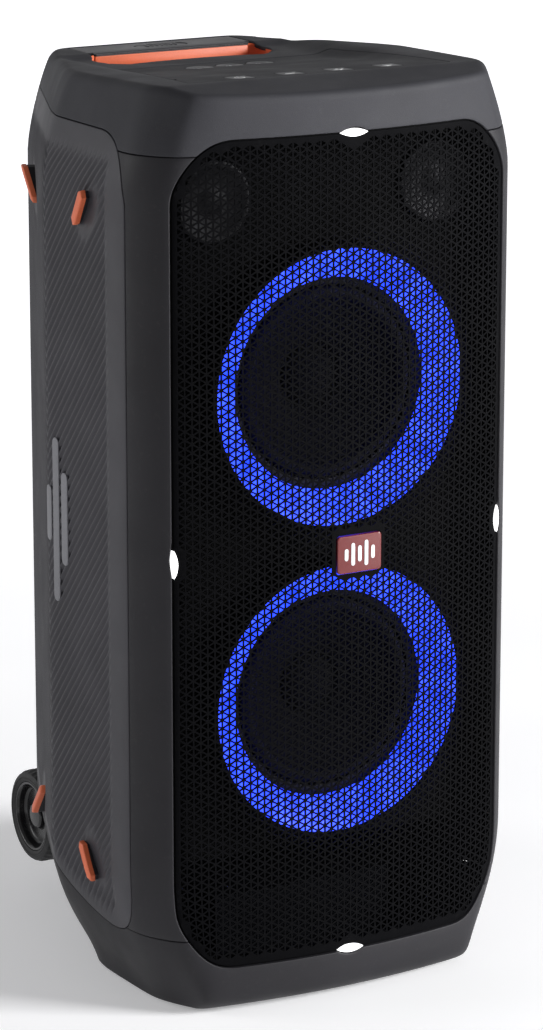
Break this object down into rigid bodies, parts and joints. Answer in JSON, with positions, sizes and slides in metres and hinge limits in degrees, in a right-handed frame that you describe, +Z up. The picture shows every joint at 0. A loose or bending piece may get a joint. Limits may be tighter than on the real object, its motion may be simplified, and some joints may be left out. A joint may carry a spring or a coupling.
{
  "type": "party speaker",
  "caption": "Tall wheeled party speaker with light rings round two woofers behind one grille, control keys on top, a pull-up handle and a rear connector door.",
  "frame": {"origin": "middle of the footprint on the floor, under the middle of the overall box", "axes": "+Z up, -Y is the front with the grille, +X is to the right seen from the front"},
  "size_m": [0.3348, 0.367, 0.687],
  "materials": {
    "cabinet_dark": "fine textured moulding",
    "inner_black": "fine textured moulding",
    "side_grey": "ribbed moulding",
    "grille_paint": "satin powder coat",
    "accent_orange": "soft touch",
    "ring_blue": "frosted translucent diffuser, lit blue",
    "lens_white": "frosted lens, lit white",
    "badge_red": "smooth gloss",
    "board_green": "solder mask",
    "driver_black": "satin",
    "magnet_grey": "plated steel and ferrite",
    "cone_grey": "woven cone",
    "soft_rubber": "matt rubber",
    "button_dark": "satin",
    "tube_aluminium": "satin anodised",
    "sleeve_steel": "drawn tube",
    "tyre_black": "moulded tread",
    "hub_gloss": "gloss",
    "battery_wrap": "shrink wrap",
    "screw_black": "black oxide"
  },
  "bodies": {
    "cabinet": {"front_posts": "cabinet_dark", "hood": "cabinet_dark", "base": "cabinet_dark", "inner_cabinet": "inner_black", "rear_cover": "cabinet_dark", "side_panel_left": "side_grey", "side_panel_right": "side_grey", "grille": "grille_paint", "baffle": "inner_black", "light_ring_upper": "ring_blue", "light_ring_lower": "ring_blue", "led_boards": "board_green", "woofer_basket_upper": "driver_black", "woofer_basket_lower": "driver_black", "woofer_magnet_upper": "magnet_grey", "woofer_magnet_lower": "magnet_grey", "tweeter_left": "driver_black", "tweeter_right": "driver_black", "strobe_top": "lens_white", "strobe_bottom": "lens_white", "strobe_left": "lens_white", "strobe_right": "lens_white", "badge": "badge_red", "bumpers_left": "accent_orange", "bumpers_right": "accent_orange", "control_panel": "cabinet_dark", "handle_well": "accent_orange", "handle_sleeves": "sleeve_steel", "axle": "sleeve_steel", "port_tube": "inner_black", "io_panel": "inner_black", "sockets": "inner_black", "battery_pack": "battery_wrap", "amplifier": "tube_aluminium", "power_supply": "board_green", "rear_screws": "screw_black", "feet": "soft_rubber"},
    "handle": {"handle_tubes": "tube_aluminium", "handle_grip": "button_dark"},
    "handle_release_button": {"handle_release": "button_dark"},
    "wheel_left": {"wheel_tyre_left": "tyre_black", "wheel_hub_left": "hub_gloss"},
    "wheel_right": {"wheel_tyre_right": "tyre_black", "wheel_hub_right": "hub_gloss"},
    "light_button": {"light_button": "button_dark"},
    "bass_button": {"bass_button": "button_dark"},
    "pairing_button": {"pairing_button": "button_dark"},
    "power_key": {"power_key": "button_dark"},
    "volume_down_key": {"volume_down_key": "button_dark"},
    "volume_up_key": {"volume_up_key": "button_dark"},
    "play_key": {"play_key": "button_dark"},
    "upper_cone": {"woofer_cone_upper": "cone_grey", "woofer_surround_upper": "soft_rubber", "dust_cap_upper": "cone_grey"},
    "lower_cone": {"woofer_cone_lower": "cone_grey", "woofer_surround_lower": "soft_rubber", "dust_cap_lower": "cone_grey"},
    "io_door": {"io_door": "soft_rubber"},
    "mic_knob": {"mic_knob": "button_dark"},
    "guitar_knob": {"guitar_knob": "button_dark"}
  },
  "joints": [
    {"name": "handle_slide", "type": "slide", "parent": "cabinet", "child": "handle", "axis": [0, 0, 1], "range_m": [0, 0.38]},
    {"name": "handle_release_press", "type": "slide", "parent": "handle", "child": "handle_release_button", "axis": [0, 0, -1], "range_m": [0, 0.003]},
    {"name": "wheel_left_spin", "type": "hinge", "parent": "cabinet", "child": "wheel_left", "pos_m": [-0.085, 0.1465, 0.062], "axis": [1, 0, 0], "continuous": true},
    {"name": "wheel_right_spin", "type": "hinge", "parent": "cabinet", "child": "wheel_right", "pos_m": [0.085, 0.1465, 0.062], "axis": [1, 0, 0], "continuous": true},
    {"name": "light_button_press", "type": "slide", "parent": "cabinet", "child": "light_button", "axis": [0, 0, -1], "range_m": [0, 0.0012]},
    {"name": "bass_button_press", "type": "slide", "parent": "cabinet", "child": "bass_button", "axis": [0, 0, -1], "range_m": [0, 0.0012]},
    {"name": "pairing_button_press", "type": "slide", "parent": "cabinet", "child": "pairing_button", "axis": [0, 0, -1], "range_m": [0, 0.0012]},
    {"name": "power_key_press", "type": "slide", "parent": "cabinet", "child": "power_key", "axis": [0, 0, -1], "range_m": [0, 0.0012]},
    {"name": "volume_down_key_press", "type": "slide", "parent": "cabinet", "child": "volume_down_key", "axis": [0, 0, -1], "range_m": [0, 0.0012]},
    {"name": "volume_up_key_press", "type": "slide", "parent": "cabinet", "child": "volume_up_key", "axis": [0, 0, -1], "range_m": [0, 0.0012]},
    {"name": "play_key_press", "type": "slide", "parent": "cabinet", "child": "play_key", "axis": [0, 0, -1], "range_m": [0, 0.0012]},
    {"name": "upper_cone_travel", "type": "slide", "parent": "cabinet", "child": "upper_cone", "axis": [0, -1, 0], "range_m": [-0.003, 0.003]},
    {"name": "lower_cone_travel", "type": "slide", "parent": "cabinet", "child": "lower_cone", "axis": [0, -1, 0], "range_m": [-0.003, 0.003]},
    {"name": "io_door_hinge", "type": "hinge", "parent": "cabinet", "child": "io_door", "pos_m": [0, 0.137, 0.5222], "axis": [-1, 0, 0], "range_deg": [0, 110]},
    {"name": "mic_knob_turn", "type": "hinge", "parent": "cabinet", "child": "mic_knob", "pos_m": [-0.032, 0.1265, 0.586], "axis": [0, -1, 0], "range_deg": [-140, 140]},
    {"name": "guitar_knob_turn", "type": "hinge", "parent": "cabinet", "child": "guitar_knob", "pos_m": [-0.032, 0.1265, 0.541], "axis": [0, -1, 0], "range_deg": [-140, 140]}
  ]
}
